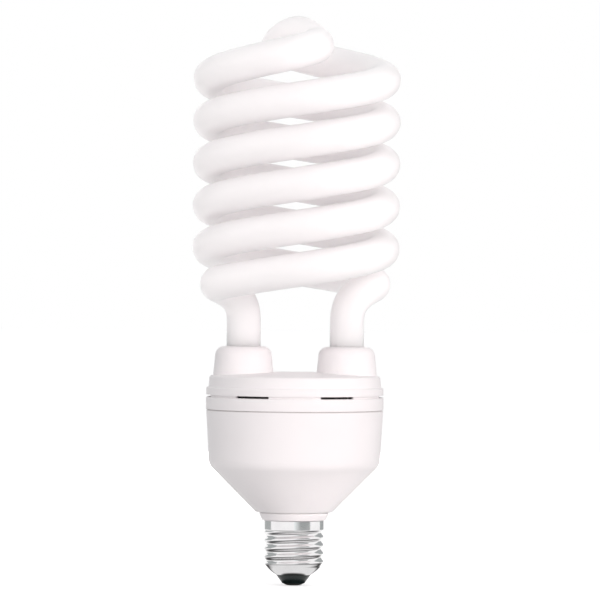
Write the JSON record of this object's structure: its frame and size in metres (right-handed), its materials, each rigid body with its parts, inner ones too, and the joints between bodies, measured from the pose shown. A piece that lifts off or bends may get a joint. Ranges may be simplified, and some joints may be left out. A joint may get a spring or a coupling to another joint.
{
  "type": "energy saving bulb",
  "caption": "Spiral compact fluorescent lamp: white coated double-helix tube on a white plastic ballast housing with a plated screw cap, gives light when screwed into an E27 lamp holder.",
  "frame": {"origin": "middle of the centre contact's flat lowest face, on the lamp's axis", "axes": "+Z along the lamp's axis from the screw cap to the tip of the spiral, +X through the right leg of the tube, -Y to the front"},
  "size_m": [0.091, 0.091, 0.2496],
  "materials": {
    "contact_metal": "plated, satin",
    "black_glass": "opaque, glossy",
    "cap_metal": "nickel plated, bright",
    "housing_plastic": "moulded, satin",
    "cement": "matte",
    "coated_glass": "coated inside, opaque white, satin",
    "board": "matte",
    "ferrite": "matte",
    "black_plastic": "matte",
    "copper": "enamelled wire",
    "capacitor_sleeve": "shrunk sleeve",
    "film_coating": "dipped",
    "disc_coating": "dipped",
    "resistor_coating": "dipped",
    "lead_wire": "tinned"
  },
  "bodies": {
    "root": {"centre_contact": "contact_metal", "cap_insulator": "black_glass", "screw_shell": "cap_metal", "ballast_case": "housing_plastic", "vent_collar": "housing_plastic", "tube_holder": "housing_plastic", "tube_cement_left": "cement", "tube_cement_right": "cement", "discharge_tube": "coated_glass", "circuit_board": "board", "choke_core_upper": "ferrite", "choke_core_lower": "ferrite", "choke_bobbin": "black_plastic", "choke_winding": "copper", "smoothing_capacitor": "capacitor_sleeve", "drive_toroid_core": "ferrite", "drive_toroid_windings": "copper", "transistor_left": "black_plastic", "transistor_right": "black_plastic", "blocking_capacitor": "film_coating", "resonance_capacitor": "film_coating", "starter_disc": "disc_coating", "filter_choke_core": "ferrite", "filter_choke_winding": "copper", "rectifier_diodes": "black_plastic", "fuse_resistor": "resistor_coating", "live_lead": "lead_wire", "neutral_lead": "lead_wire", "board_pins": "lead_wire", "filament_leads": "lead_wire"}
  },
  "joints": []
}
